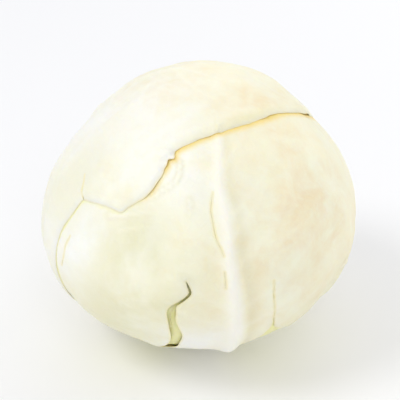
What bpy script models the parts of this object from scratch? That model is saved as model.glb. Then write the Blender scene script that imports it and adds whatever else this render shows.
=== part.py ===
"""A white cabbage head, as trimmed for sale, standing on its cut stalk.

Seven overlapping leaves are wrapped round a tight ball of inner leaves. Metres, +Z up. The
stalk's cut face is on z = 0, centred on the origin. The front, where the front leaf's midrib
rises, is -Y, and +X is the head's right. Angles are in degrees: an azimuth runs
anticlockwise from +X, and a latitude runs up from the head's equator.
"""

import bmesh
import bpy
import numpy as np

# The head: a ball, a little wider than tall, with a blunt cone for its foot.
HEAD_RADIUS = 0.0900
HEAD_HALF_HEIGHT = 0.0810
FOOT_TAPER = 0.0045
FOOT_TAPER_LATITUDE = -58.0
FOOT_TAPER_WIDTH = 14.0

# Broad swellings and flats: azimuth, latitude, angular width, height.
SWELLINGS = (
    (20.0, 35.0, 32.0, -0.0040),
    (335.0, -50.0, 32.0, -0.0020),
    (235.0, -60.0, 32.0, -0.0020),
    (200.0, -30.0, 32.0, 0.0025),
    (190.0, 40.0, 34.0, -0.0110),
    (60.0, 75.0, 34.0, 0.0040),
    (0.0, -90.0, 26.0, 0.0035),
)

# The leaves: every one starts a golden angle further round the stalk than the one outside it.
LEAF_THICKNESS = 0.0011
LEAF_GAP = 0.0011
FIRST_AZIMUTH = 145.0
GOLDEN_ANGLE = 137.5
LEAVES_ON_THE_BALL = 3

# How a leaf drapes over the edge of the one inside it.
COVER_PAST_EDGE = 0.006
DRAPE_WIDTH = 0.024

STALK_RADIUS = 0.0180
STALK_HEIGHT = 0.0120
STALK_EDGE = 0.0008
STALK_SIDES = 40
STALK_GAP = 0.0004

BALL_SEGMENTS = 36
BALL_RINGS = 22

# Outermost first. The left and right edges run from the foot to the tip, as degrees across
# and up the head from the leaf's own centre; the crown is how far the tip's edge bows up.
LEAVES = (
    {
        "name": "cap_leaf",
        "latitude": 35.0,
        "left": ((-14, -110.5), (-50, -86), (-72, -40), (-79, 12), (-74, 55), (-58, 75)),
        "right": ((14, -110.5), (48, -90), (68, -55), (67, 0), (72, 32), (50, 60)),
        "crown": 21.0,
        "cells": (18, 22),
        "colour": (0.93, 0.90, 0.72),
    },
    {
        "name": "front_leaf",
        "latitude": 5.0,
        "left": ((-12, -80.5), (-44, -60), (-72, -28), (-82, 5), (-76, 42), (-50, 68)),
        "right": ((12, -80.5), (38, -58), (58, -24), (64, 12), (58, 48), (40, 68)),
        "crown": 12.0,
        "cells": (18, 18),
        "colour": (0.90, 0.89, 0.74),
    },
    {
        "name": "back_right_leaf",
        "latitude": 5.0,
        "left": ((-12, -80.5), (-46, -60), (-74, -34), (-88, 5), (-78, 44), (-46, 70)),
        "right": ((12, -80.5), (36, -62), (56, -36), (62, 0), (58, 40), (42, 68)),
        "crown": 10.0,
        "cells": (18, 18),
        "colour": (0.88, 0.88, 0.64),
    },
    {
        "name": "left_leaf",
        "latitude": 5.0,
        "left": ((-12, -80.5), (-40, -58), (-64, -26), (-68, 12), (-54, 48), (-28, 62)),
        "right": ((12, -80.5), (40, -58), (64, -26), (68, 12), (54, 48), (28, 62)),
        "crown": 8.0,
        "cells": (14, 16),
        "colour": (0.87, 0.87, 0.58),
    },
    {
        "name": "right_leaf",
        "latitude": 5.0,
        "left": ((-12, -80.5), (-40, -58), (-62, -26), (-66, 12), (-52, 48), (-28, 62)),
        "right": ((12, -80.5), (40, -58), (62, -26), (66, 12), (52, 48), (28, 62)),
        "crown": 8.0,
        "cells": (14, 16),
        "colour": (0.86, 0.87, 0.55),
    },
    {
        "name": "back_leaf",
        "latitude": 5.0,
        "left": ((-12, -80.5), (-40, -58), (-60, -26), (-64, 12), (-50, 48), (-26, 60)),
        "right": ((12, -80.5), (40, -58), (60, -26), (64, 12), (50, 48), (26, 60)),
        "crown": 8.0,
        "cells": (14, 16),
        "colour": (0.85, 0.86, 0.52),
    },
    {
        "name": "front_left_leaf",
        "latitude": 5.0,
        "left": ((-12, -80.5), (-41, -57), (-62, -24), (-65, 14), (-50, 46), (-27, 59)),
        "right": ((12, -80.5), (40, -58), (60, -26), (64, 12), (50, 48), (26, 60)),
        "crown": 8.0,
        "cells": (15, 16),
        "colour": (0.84, 0.86, 0.48),
    },
)

LAYER = LEAF_THICKNESS + LEAF_GAP
BALL_CENTRE = np.array((0.0, 0.0, HEAD_HALF_HEIGHT))


def direction(azimuth, latitude):
    """Unit vector of an azimuth and a latitude."""
    a, b = np.radians(azimuth), np.radians(latitude)
    return np.stack([np.cos(a) * np.cos(b), np.sin(a) * np.cos(b), np.sin(b)], axis=-1)


def head_radius(d):
    """Distance from the ball's centre to the head's surface: an ellipsoid, less the taper
    round the foot, plus the broad swellings."""
    flat = (d[:, 0] ** 2 + d[:, 1] ** 2) / HEAD_RADIUS**2
    radius = 1.0 / np.sqrt(flat + d[:, 2] ** 2 / HEAD_HALF_HEIGHT**2)
    latitude = np.degrees(np.arcsin(np.clip(d[:, 2], -1.0, 1.0)))
    away = (latitude - FOOT_TAPER_LATITUDE) / FOOT_TAPER_WIDTH
    radius -= FOOT_TAPER * np.exp(-(away**2))
    for azimuth, latitude, width, height in SWELLINGS:
        across = np.clip(d @ direction(azimuth, latitude), -1.0, 1.0)
        radius += height * np.exp(-((np.degrees(np.arccos(across)) / width) ** 2))
    return radius


def ball_radius(d):
    """Radius of the inner head, which leaves room for the leaves that usually cover it."""
    return head_radius(d) - LEAVES_ON_THE_BALL * LAYER


def leaf_axes(leaf):
    """A leaf's centre direction, and the directions across and up the head from there."""
    centre = direction(leaf["azimuth"], leaf["latitude"])
    across = direction(leaf["azimuth"] + 90.0, 0.0)
    return centre, across, np.cross(centre, across)


def from_leaf(leaf, spread):
    """Directions of places given as degrees across and up from the leaf's centre: straight
    away from the centre, by the length of the pair."""
    centre, across, up = leaf_axes(leaf)
    turn = np.hypot(spread[:, 0], spread[:, 1])
    share = np.sin(np.radians(turn)) / np.maximum(turn, 1e-9)
    side = spread[:, :1] * across + spread[:, 1:] * up
    return np.cos(np.radians(turn))[:, None] * centre + share[:, None] * side


def to_leaf(leaf, d):
    """The reverse of from_leaf."""
    centre, across, up = leaf_axes(leaf)
    side = np.stack([d @ across, d @ up], axis=-1)
    length = np.hypot(side[:, 0], side[:, 1])
    turn = np.degrees(np.arctan2(length, d @ centre))
    return side * (turn / np.maximum(length, 1e-9))[:, None]


def along(points, where):
    """Places at shares of the length of a smooth curve through the points (Catmull-Rom)."""
    points = np.array(points, dtype=float)
    step = np.hypot(*np.diff(points, axis=0).T)
    knots = np.concatenate([[0.0], np.cumsum(step)]) / step.sum()
    before = np.vstack([2 * points[0] - points[1], points[:-1]])
    after = np.vstack([points[1:], 2 * points[-1] - points[-2]])
    slope = (after - before) / 2.0
    piece = np.clip(np.searchsorted(knots, where, side="right") - 1, 0, len(step) - 1)
    t = ((where - knots[piece]) / (knots[piece + 1] - knots[piece]))[:, None]
    start, end = points[piece], points[piece + 1]
    bend = (1 + 2 * t) * (1 - t) ** 2 * start + t * (1 - t) ** 2 * slope[piece]
    return bend + t**2 * (3 - 2 * t) * end + t**2 * (t - 1) * slope[piece + 1]


def place_in_leaf(leaf, share, rise):
    """Degrees across and up for a share of the way across and of the way from foot to tip:
    a straight line between the two edges, bowed up by the crown near the tip."""
    left, right = along(leaf["left"], rise), along(leaf["right"], rise)
    spread = left + share[:, None] * (right - left)
    spread[:, 1] += leaf["crown"] * (1 - (2 * share - 1) ** 2) * rise**4
    return spread


def outline(leaf):
    """The leaf's edge, once round, in degrees across and up."""
    run = np.linspace(0.0, 1.0, 25)
    still = np.ones_like(run)
    sides = (
        place_in_leaf(leaf, run, 0 * still),
        place_in_leaf(leaf, still, run),
        place_in_leaf(leaf, run[::-1], still),
        place_in_leaf(leaf, 0 * still, run[::-1]),
    )
    return np.vstack([side[:-1] for side in sides])


def distance_outside(leaf, d):
    """Metres from each direction to the leaf's edge, negative inside it."""
    edge = outline(leaf)
    spread = to_leaf(leaf, d)
    start, end = edge, np.roll(edge, -1, axis=0)
    run = end - start
    offset = spread[:, None, :] - start
    share = (offset * run).sum(-1) / (run**2).sum(-1)
    nearest = offset - np.clip(share, 0.0, 1.0)[..., None] * run
    distance = np.sqrt((nearest**2).sum(-1)).min(axis=1)
    y = spread[:, 1:2]
    crosses = (start[:, 1] > y) != (end[:, 1] > y)
    rise = np.where(run[:, 1] == 0.0, 1.0, run[:, 1])
    meets = start[:, 0] + (y - start[:, 1]) / rise * run[:, 0]
    inside = (crosses & (spread[:, :1] < meets)).sum(axis=1) % 2 == 1
    return np.radians(np.where(inside, -distance, distance)) * HEAD_RADIUS


def cover(leaf, d):
    """1 over the leaf and just past its edge, falling smoothly to 0 as the next leaf drapes
    down."""
    past = (distance_outside(leaf, d) - COVER_PAST_EDGE) / DRAPE_WIDTH
    t = np.clip(past, 0.0, 1.0)
    return 1.0 - t * t * (3.0 - 2.0 * t)


def make_material(name, colour, roughness):
    material = bpy.data.materials.new(name)
    material.use_nodes = True
    shader = material.node_tree.nodes["Principled BSDF"]
    shader.inputs["Base Color"].default_value = (*colour, 1.0)
    shader.inputs["Roughness"].default_value = roughness
    shader.inputs["Metallic"].default_value = 0.0
    return material


def finish(name, mesh, collection, material):
    """A smooth-shaded object of the mesh, in the head's collection."""
    mesh.shade_smooth()
    mesh.materials.append(material)
    made = bpy.data.objects.new(name, mesh)
    collection.objects.link(made)
    return made


def make_leaf(leaf, inner_leaves, collection):
    """A grid laid between the leaf's two edges, on the ball and the leaves inside this one,
    thickened outwards."""
    columns, rows = leaf["cells"]
    work = bmesh.new()
    bmesh.ops.create_grid(work, x_segments=columns, y_segments=rows, size=1.0)
    flat = np.array([vertex.co[:2] for vertex in work.verts])
    spread = place_in_leaf(leaf, (flat[:, 0] + 1) / 2, (flat[:, 1] + 1) / 2)
    d = from_leaf(leaf, spread)
    radius = ball_radius(d) + LEAF_GAP
    for inner in inner_leaves:
        radius += LAYER * cover(inner, d)
    for vertex, place in zip(work.verts, BALL_CENTRE + d * radius[:, None]):
        vertex.co = place
    mesh = bpy.data.meshes.new(leaf["name"])
    work.to_mesh(mesh)
    work.free()
    material = make_material(leaf["name"], leaf["colour"], 0.42)
    made = finish(leaf["name"], mesh, collection, material)
    wall = made.modifiers.new("leaf_thickness", "SOLIDIFY")
    wall.thickness = LEAF_THICKNESS
    wall.offset = 1.0
    return made


def make_inner_head(collection):
    """The ball of inner leaves, with a flat under it that clears the stalk."""
    work = bmesh.new()
    bmesh.ops.create_uvsphere(
        work, u_segments=BALL_SEGMENTS, v_segments=BALL_RINGS, radius=1.0
    )
    d = np.array([vertex.co.normalized()[:] for vertex in work.verts])
    places = BALL_CENTRE + d * ball_radius(d)[:, None]
    places[:, 2] = np.maximum(places[:, 2], STALK_HEIGHT + STALK_GAP)
    for vertex, place in zip(work.verts, places):
        vertex.co = place
    mesh = bpy.data.meshes.new("inner_head")
    work.to_mesh(mesh)
    work.free()
    material = make_material("inner_head", (0.84, 0.86, 0.50), 0.45)
    return finish("inner_head", mesh, collection, material)


def make_stalk(collection):
    """The short end of the stalk, from its cut face on z = 0 up to the inner head."""
    work = bmesh.new()
    bmesh.ops.create_cone(
        work,
        cap_ends=True,
        segments=STALK_SIDES,
        radius1=STALK_RADIUS,
        radius2=STALK_RADIUS,
        depth=STALK_HEIGHT,
    )
    bmesh.ops.translate(work, verts=work.verts, vec=(0.0, 0.0, STALK_HEIGHT / 2))
    mesh = bpy.data.meshes.new("cut_stalk")
    work.to_mesh(mesh)
    work.free()
    material = make_material("cut_stalk", (0.88, 0.84, 0.66), 0.60)
    made = finish("cut_stalk", mesh, collection, material)
    mesh.set_sharp_from_angle(angle=np.radians(40.0))
    edge = made.modifiers.new("rounded_edge", "BEVEL")
    edge.width = STALK_EDGE
    edge.segments = 2
    return made


def main():
    for old in list(bpy.data.objects):
        bpy.data.objects.remove(old, do_unlink=True)
    collection = bpy.data.collections.new("cabbage_head")
    bpy.context.scene.collection.children.link(collection)
    for turn, leaf in enumerate(LEAVES):
        leaf["azimuth"] = (FIRST_AZIMUTH + turn * GOLDEN_ANGLE) % 360.0
    make_stalk(collection)
    make_inner_head(collection)
    for place, leaf in enumerate(LEAVES):
        make_leaf(leaf, LEAVES[place + 1 :], collection)


main()
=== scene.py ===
"""Looks of a white cabbage head: leaves with ribs, veins, torn and curled edges, laid one over
another on the ball of inner leaves, and the cut end of the stalk.

Metres, +Z up, the stalk's cut face on z = 0. Angles are degrees. A leaf is drawn in degrees
across and up from its own centre on the head, and then wrapped round the head.
"""

import itertools
import math

import bpy
import numpy as np
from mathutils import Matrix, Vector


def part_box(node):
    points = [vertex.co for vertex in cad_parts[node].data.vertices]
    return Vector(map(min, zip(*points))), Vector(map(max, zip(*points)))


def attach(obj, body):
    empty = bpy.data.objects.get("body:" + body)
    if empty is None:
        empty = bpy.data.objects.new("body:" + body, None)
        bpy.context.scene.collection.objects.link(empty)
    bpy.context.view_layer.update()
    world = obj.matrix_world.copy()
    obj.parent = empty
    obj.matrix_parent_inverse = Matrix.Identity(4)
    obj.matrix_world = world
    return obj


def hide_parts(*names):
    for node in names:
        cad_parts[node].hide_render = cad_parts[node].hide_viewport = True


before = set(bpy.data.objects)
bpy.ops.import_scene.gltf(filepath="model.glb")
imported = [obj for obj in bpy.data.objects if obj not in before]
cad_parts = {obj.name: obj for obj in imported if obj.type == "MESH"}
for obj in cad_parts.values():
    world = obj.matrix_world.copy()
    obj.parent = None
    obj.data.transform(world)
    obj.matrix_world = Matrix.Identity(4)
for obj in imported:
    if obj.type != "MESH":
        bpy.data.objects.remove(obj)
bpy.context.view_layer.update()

BODY = "root"

# The cut stalk, as the frame gives it.
STALK_LOW, STALK_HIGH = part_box("cut_stalk")
STALK_RADIUS = (STALK_HIGH.x - STALK_LOW.x) / 2
STALK_TOP = STALK_HIGH.z

# The head's outer shape. A swelling is an azimuth, a latitude, a width and a height.
HEAD_RADIUS = 0.0900
HEAD_HALF_HEIGHT = 0.0810
FOOT_TAPER = 0.0045
FOOT_TAPER_LATITUDE = -58.0
FOOT_TAPER_WIDTH = 14.0
SWELLINGS = (
    (20.0, 35.0, 32.0, -0.0040),
    (335.0, -50.0, 32.0, -0.0020),
    (235.0, -60.0, 32.0, -0.0020),
    (200.0, -30.0, 32.0, 0.0025),
    (190.0, 40.0, 34.0, -0.0110),
    (150.0, 42.0, 28.0, -0.0015),
    (0.0, -90.0, 26.0, 0.0035),
    (212.0, -42.0, 20.0, -0.0023),
    (265.0, -60.0, 22.0, -0.0036),
    (332.0, -36.0, 24.0, -0.0016),
)
BALL_CENTRE = np.array((0.0, 0.0, HEAD_HALF_HEIGHT))

# How the leaves lie on each other, and how thick they are.
LEAF_GAP = 0.00015
BLADE = 0.0011
LAYER = BLADE + LEAF_GAP
EDGE_THICKNESS = 0.00020
THIN_NEAR_EDGE = 0.007
EDGE_SINKS = 0.00014
EDGE_SINKS_WITHIN = 0.0015
LIP_THINNER_BY = 0.00008
LIP_THIN_WITHIN = 0.008
FOOT_THICKER_BY = 0.0028
FOOT_EDGE_THICKER_BY = 0.0010
FOOT_LATITUDE = -47.0
FOOT_FADES_OVER = 26.0
TEAR_EDGE_THICKER_BY = 0.0003
TEAR_TOP = 4.0
TEAR_FADES_OVER = 30.0
RIB_SHOWN_THROUGH = 0.35
EVENED_OVER = 0.05
DRAPE_START = 0.0008
DRAPE_WIDTH = 0.012
DRAPE_GROWTH = 0.6
METRES_PER_DEGREE = math.radians(1.0) * HEAD_RADIUS
LOWEST = 0.0004

# Meshes: the grid's step in degrees, and how near an edge or a crack it is made finer.
GRID_STEP = 1.15
EDGE_BANDS = (0.0026, 0.0011)
CRACK_BAND = 0.0008
SNAP = 0.00014
SLOPE_STEP = 0.02
CURVE_STEP = 1.2
ROUGH_CURVE_STEP = 5.0
RIB_CURVE_STEP = 3.0

# Each leaf stands this far round the stalk from the one outside it.
FIRST_AZIMUTH = 145.0
GOLDEN_ANGLE = 137.5

MASKS = (
    "edge", "vein_and_highlight", "painted_crease_shade", "rib", "lip", "yellowing_and_shade", "painted_lip_shadow", "foot", "blush", "green", "pale", "painted_gap_shade",
)


# ---- the head and its charts


def direction(azimuth, latitude):
    """Unit vector of an azimuth and a latitude."""
    a, b = np.radians(azimuth), np.radians(latitude)
    return np.stack([np.cos(a) * np.cos(b), np.sin(a) * np.cos(b), np.sin(b)], axis=-1)


def ease(t):
    """0 below 0, 1 above 1, and 3tt - 2ttt between."""
    t = np.clip(t, 0.0, 1.0)
    return t * t * (3.0 - 2.0 * t)


def bell(t):
    """The bell curve exp(-tt)."""
    return np.exp(-np.square(t))


def patches(d, spots):
    """Sum of bells on the head, each of a strength at an azimuth and latitude, and fading over
    an angular width."""
    total = np.zeros(len(d))
    for azimuth, latitude, width, strength in spots:
        apart = np.degrees(np.arccos(np.clip(d @ direction(azimuth, latitude), -1.0, 1.0)))
        total += strength * bell(apart / width)
    return total


def head_radius(d):
    """Distance from the ball's centre to the head's surface: an ellipsoid, less the taper
    round the foot, plus the broad swellings."""
    flat = (d[:, 0] ** 2 + d[:, 1] ** 2) / HEAD_RADIUS**2
    radius = 1.0 / np.sqrt(flat + d[:, 2] ** 2 / HEAD_HALF_HEIGHT**2)
    latitude = np.degrees(np.arcsin(np.clip(d[:, 2], -1.0, 1.0)))
    radius -= FOOT_TAPER * bell((latitude - FOOT_TAPER_LATITUDE) / FOOT_TAPER_WIDTH)
    return radius + patches(d, SWELLINGS)


def noise(d, scale, seed):
    """Smooth random values from about -1 to 1 that change over the scale in metres on the
    head: random numbers at the corners of a cubic lattice, eased between them."""
    lattice = np.random.default_rng(seed).uniform(-1.0, 1.0, (16, 16, 16))
    place = d * (HEAD_RADIUS / scale) + 64.0
    cell = np.floor(place).astype(int)
    share = ease(place - cell)
    total = np.zeros(len(d))
    for corner in itertools.product((0, 1), repeat=3):
        index = (cell + corner) % 16
        weight = np.prod(np.where(corner, share, 1.0 - share), axis=1)
        total += weight * lattice[index[:, 0], index[:, 1], index[:, 2]]
    return 1.6 * total


def axes(azimuth, latitude):
    """A centre direction on the head, and the directions across and up from there."""
    centre = direction(azimuth, latitude)
    across = direction(azimuth + 90.0, 0.0)
    return centre, across, np.cross(centre, across)


def from_chart(leaf, spread):
    """Directions of places given as degrees across and up from the leaf's centre: straight
    away from the centre, by the length of the pair."""
    centre, across, up = axes(leaf["azimuth"], leaf["latitude"])
    turn = np.hypot(spread[:, 0], spread[:, 1])
    share = np.sin(np.radians(turn)) / np.maximum(turn, 1e-9)
    side = spread[:, :1] * across + spread[:, 1:] * up
    return np.cos(np.radians(turn))[:, None] * centre + share[:, None] * side


def to_chart(leaf, d):
    """The reverse of from_chart."""
    centre, across, up = axes(leaf["azimuth"], leaf["latitude"])
    side = np.stack([d @ across, d @ up], axis=-1)
    length = np.hypot(side[:, 0], side[:, 1])
    turn = np.degrees(np.arctan2(length, d @ centre))
    return side * (turn / np.maximum(length, 1e-9))[:, None]


# ---- curves and distances


def smooth_curve(points, step=CURVE_STEP, closed=False):
    """A smooth curve through the points (Catmull-Rom), with a point about every step."""
    points = np.array(points, dtype=float)
    if closed:
        padded = np.vstack([points[-1], points, points[:2]])
    else:
        first, last = 2 * points[0] - points[1], 2 * points[-1] - points[-2]
        padded = np.vstack([first, points, last])
    made = []
    for before, start, end, after in zip(padded, padded[1:], padded[2:], padded[3:]):
        count = max(2, int(np.ceil(np.linalg.norm(end - start) / step)))
        t = (np.arange(count) / count)[:, None]
        leave, arrive = (end - before) / 2.0, (after - start) / 2.0
        bend = (1 + 2 * t) * (1 - t) ** 2 * start + t * (1 - t) ** 2 * leave
        made.append(bend + t**2 * (3 - 2 * t) * end + t**2 * (t - 1) * arrive)
    if not closed:
        made.append(points[-1:])
    return np.vstack(made)


def distance_to_line(spread, start, end):
    """Degrees from each place to a straight line, and the share of it where it comes nearest."""
    run = end - start
    t = np.clip((spread - start) @ run / max(run @ run, 1e-12), 0.0, 1.0)
    return np.hypot(*(spread - start - t[:, None] * run).T), t


def distance_to_curve(spread, curve):
    """Degrees from each place to an open curve, and the share of the curve's length where it
    comes nearest."""
    steps = np.hypot(*np.diff(curve, axis=0).T)
    before = np.concatenate([[0.0], np.cumsum(steps)])
    nearest = np.full(len(spread), np.inf)
    share = np.zeros(len(spread))
    for index, (start, end) in enumerate(zip(curve, curve[1:])):
        apart, t = distance_to_line(spread, start, end)
        closer = apart < nearest
        nearest = np.where(closer, apart, nearest)
        share = np.where(closer, before[index] + t * steps[index], share)
    return nearest, share / before[-1]


def distance_outside(spread, edge):
    """Degrees to a closed curve, negative inside it: a place is inside if a line from it
    crosses the curve an odd number of times."""
    nearest = np.full(len(spread), np.inf)
    inside = np.zeros(len(spread), bool)
    x, y = spread.T
    for start, end in zip(edge, np.roll(edge, -1, axis=0)):
        nearest = np.minimum(nearest, distance_to_line(spread, start, end)[0])
        if start[1] != end[1]:
            meets = start[0] + (y - start[1]) / (end[1] - start[1]) * (end[0] - start[0])
            inside ^= ((start[1] > y) != (end[1] > y)) & (x < meets)
    return np.where(inside, -nearest, nearest)


# ---- the leaves' drawings


def mirrored(points):
    """The points on the other side of the midrib, in reverse order."""
    return tuple((-x, y) for x, y in reversed(points))


# A leaf's edge and midrib are drawn in degrees, and its rib_width and rib_height are metres at
# the foot and at the tip. Laterals are the lowest and the highest place of the side veins and
# their number, waver scales the edge's unevenness, and coarse widens the grid of hidden leaves.
PLAIN_SIDE = ((10, -83), (20, -72), (38, -56), (54, -38), (64, -12), (65, 14), (58, 36), (44, 54))
PLAIN_TIP = ((20, 66), (-20, 66))

CAP_LEAF = {
    "node": "cap_leaf",
    "latitude": 35.0,
    "edge": (
        (10, -113), (16, -106), (30, -99), (46, -89), (60, -70), (67.5, -56), (69.4, -46),
        (68.9, -32), (68.0, -20), (67.0, -12), (66.2, -4), (65.4, 3), (64.2, 9), (64.0, 11.4),
        (66.6, 16.4), (69.5, 21.3), (71.8, 26.0), (74.1, 30.6), (72.8, 35.2), (71.2, 39.8),
        (69.4, 44.4), (66.8, 48.0), (63.4, 51.2), (59.8, 54.2), (57.0, 55.4), (55.0, 56.6),
        (52.6, 57.4), (51.6, 59.8), (48.6, 60.2), (44.8, 64.0), (39.8, 68.6), (33.0, 74.4),
        (24.5, 80.2), (12.6, 85.9), (-0.5, 88.8), (-17.5, 89.5), (-25.0, 89.1), (-33.0, 87.5),
        (-47.0, 82.6), (-61.0, 73.5), (-71, 58), (-77, 38), (-79, 15), (-77, -10),
        (-73, -35), (-65, -60), (-50, -85), (-32, -99), (-16, -106), (-10, -113),
    ),
    "rib": ((0, -113), (1, -80), (-1, -40), (1, 0), (-1, 40), (0, 66)),
    "rib_width": (0.0075, 0.0014),
    "rib_height": (0.0034, 0.0004),
    "laterals": (-62.0, 48.0, 9),
    "vein_height": 0.00042,
    "waver": 0.5,
    "coarse": 1.0,
    "seed": 11,
}

FRONT_LEAF = {
    "node": "front_leaf",
    "latitude": 5.0,
    "edge": (
        (12, -83), (11, -70), (10.5, -58), (11, -46), (13.0, -35), (15.0, -28.5), (15.3, -25.6),
        (14.9, -21.4), (15.8, -24.6), (17.0, -28.6), (21, -34), (28, -42), (40, -46), (52, -34),
        (60, -14), (64, 12), (63, 34), (55, 54), (38, 68), (14, 76), (-20, 77), (-50, 69),
        (-72, 52), (-82, 28), (-83, 0), (-76, -26), (-62, -44), (-46, -51), (-37, -48.5),
        (-30, -44.5), (-25.6, -39.5), (-23.0, -33.0), (-21.9, -27.0), (-22.3, -20), (-23.0, -14),
        (-22.4, -10.7), (-20.6, -8.6), (-18.5, -6.9), (-16.1, -4.4), (-15.8, -3.0), (-16.5, 0.5),
        (-14.9, -2.9), (-15.1, -4.9),
        (-17.7, -7.6), (-19.6, -9.5), (-19.9, -12), (-20.0, -16.0), (-19.3, -19.4),
        (-17.9, -25.1), (-18.8, -31.5), (-19.8, -36.5), (-23.0, -41.0), (-28.5, -44.5),
        (-27, -50), (-20, -60), (-14, -72), (-12, -83),
    ),
    "rib": (
        (1, -83), (1.5, -60), (1.2, -30), (0.2, -15), (-0.6, -4), (-2.0, 8), (-2.2, 20),
        (-3.4, 31), (-2.6, 38), (-1.0, 47), (0, 66),
    ),
    "rib_width": (0.0074, 0.0028),
    "rib_height": (0.0034, 0.0011),
    "rib_steep": 0.6,
    "rib_taper": 1.0,
    "laterals": (-40.0, 48.0, 8),
    "vein_height": 0.00030,
    "waver": 0.25,
    "coarse": 1.0,
    "seed": 12,
}

BACK_RIGHT_LEAF = {
    "node": "back_right_leaf",
    "latitude": 5.0,
    "edge": (
        (11, -83), (20, -72), (36, -60), (54, -40), (63, -14), (64, 16), (58, 44), (42, 66),
        (18, 76), (-18, 77), (-46, 70), (-68, 56), (-82, 34), (-89, 8), (-86, -16),
        (-74, -38), (-54, -54), (-38, -62), (-22, -70), (-11, -83),
    ),
    "rib": ((0, -83), (-1, -50), (1, -20), (0, 10), (2, 40), (1, 62)),
    "rib_width": (0.0080, 0.0013),
    "rib_height": (0.0036, 0.0004),
    "laterals": (-58.0, 46.0, 8),
    "vein_height": 0.00060,
    "waver": 1.2,
    "coarse": 1.25,
    "seed": 13,
}


def plain_leaf(node, seed):
    """One of the leaves that show only round the foot and through the tears."""
    return {
        "node": node,
        "latitude": 5.0,
        "edge": PLAIN_SIDE + PLAIN_TIP + mirrored(PLAIN_SIDE),
        "rib": ((0, -83), (1, -50), (-1, -20), (0, 20), (0, 50)),
        "rib_width": (0.0075, 0.0012),
        "rib_height": (0.0032, 0.0004),
        "laterals": (-60.0, 40.0, 7),
        "vein_height": 0.00060,
        "waver": 1.5,
        "coarse": 1.8,
        "seed": seed,
    }


# From the outermost leaf in.
LEAVES = (
    CAP_LEAF,
    FRONT_LEAF,
    BACK_RIGHT_LEAF,
    plain_leaf("left_leaf", 14),
    plain_leaf("right_leaf", 15),
    plain_leaf("back_leaf", 16),
    plain_leaf("front_left_leaf", 17),
)
OUTER_LEAVES = 3

# Thin cracks, each a line and half its width: one into the cap leaf from its edge, and in the
# front leaf some beside the rib and one by the left edge.
WIDE_CRACK = 0.00026
CRACKS = {
    "cap_leaf": (
        (((64.4, 11.4), (60.6, 11.7), (56.3, 12.3), (52.6, 12.3)), WIDE_CRACK),
    ),
    "front_leaf": (
        (((12.7, -3.0), (13.0, -8.5), (13.8, -14.0), (14.4, -19.0), (14.9, -22.4)), 0.00015),
        (((-6.0, 29.3), (-7.2, 24.0), (-7.0, 19.8), (-6.3, 14.3), (-5.2, 11.5), (-4.2, 8.6)), 0.00015),
        (((-4.2, 3.4), (-4.0, 0.5), (-3.9, -2.6)), 0.00012),
        (((-63.2, 7.6), (-65.2, 2.7), (-65.9, -2.7), (-68.1, -8.8)), WIDE_CRACK),
    ),
}

# Where the skin is browner, greener or paler, where the leaves inside are painted olive as shade
# in the tear's dark opening, and where a leaf's edge leaves more yellowing and painted shade on the
# leaf under it: azimuth, latitude, width and strength.
BLUSHES = (
    (315, 28, 20, 0.9), (295, 5, 30, 0.6), (330, 5, 20, 0.5), (331, 64, 18, 0.9),
    (200, 78, 18, 0.5), (130, 60, 25, 0.3), (60, 20, 30, 0.4), (20, -10, 25, 0.4),
)
GREENS = (
    (236, -24, 18, 0.4), (247, -5, 17, 0.4), (256, 13, 15, 1.0), (330, -30, 20, 0.5),
    (210, 25, 24, 0.4), (170, 0, 30, 0.4), (100, -20, 30, 0.6),
)
PALES = (
    (175, 20, 42, 1.0), (205, 5, 25, 0.3), (225, 65, 34, 0.8), (226, 6, 20, 0.6),
    (268, 42, 14, 0.4), (272, -24, 13, 1.0), (268, -50, 15, 0.8),
)
# Painted shade: the olive colour of the leaves inside, far down in the tear's dark opening.
GAP_SHADE_SPOTS = ((254, -37, 8, 1.0),)
# Where the yellowing and painted shade along an outer leaf's edge are stronger.
YELLOWING_AND_SHADE_SPOTS = ((202, 0, 20, 1.0), (205, -35, 20, 0.8), (212, 20, 7, 0.8))

# Small raised wrinkles: the line, its half width and its height.
WRINKLES = {
    "front_leaf": (
        (((-16.6, 40.5), (-17.0, 36.8), (-19.5, 33.0), (-24.0, 30.6), (-27.0, 28.6), (-35.7, 25.3)),
         0.0010, 0.00120),
        (((-14.0, 27.2), (-14.2, 23.8), (-16.5, 21.0)), 0.0010, 0.00085),
        (((-44.0, 20.5), (-35.0, 22.0), (-26.0, 23.5), (-20.0, 23.0)), 0.0014, 0.00070),
        (((-40.0, 15.5), (-33.0, 17.5), (-25.0, 18.5)), 0.0014, 0.00045),
        (((48.7, 48.3), (49.2, 40.2), (48.0, 33.6), (45.2, 28.4), (43.2, 23.0)), 0.0010, 0.00050),
        (((47.0, 9.5), (42.0, 8.0), (32.0, 6.0)), 0.0009, 0.00042),
        (((44.0, 17.5), (40.7, 15.7), (36.7, 15.0)), 0.0009, 0.00042),
        (((51.0, -12.2), (48.5, -13.4), (46.6, -14.4)), 0.0016, 0.00150),
    ),
}

# Where the cap leaf's lip runs, from the knot round to the far side, how far it stands off, how
# far in that reaches, and how near its edge it turns down again, at the knot and at the far end.
LIP_LINE = ((51, 59), (39.8, 68.6), (24.5, 80.2), (-0.5, 88.8), (-25, 89.1), (-47, 82.6), (-61, 73.5))
LIP_STAND = 0.0007
LIP_REACH = 0.022
LIP_TURN = (0.0085, 0.0040)

# The cap leaf's torn edge, which curls up and has a thin rim, and the knot between it and the lip.
TORN_MIDDLE = (63.5, 49.5)
TORN_SIZE = 9.5
TORN_STAND = 0.0006
TORN_REACH = 0.013
TORN_RIM = 0.00032
TORN_RIM_IN = 0.0030
TORN_RIM_WIDTH = 0.0010
KNOT = (52.0, 58.5)
KNOT_SIZE = 3.2
KNOT_HEIGHT = 0.0016

# The front leaf stands open beside the tear at its foot.
TEAR_ACROSS = -28.0
TEAR_SIZE = 9.0
TEAR_STAND = 0.0006
TEAR_REACH = 0.014

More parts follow.
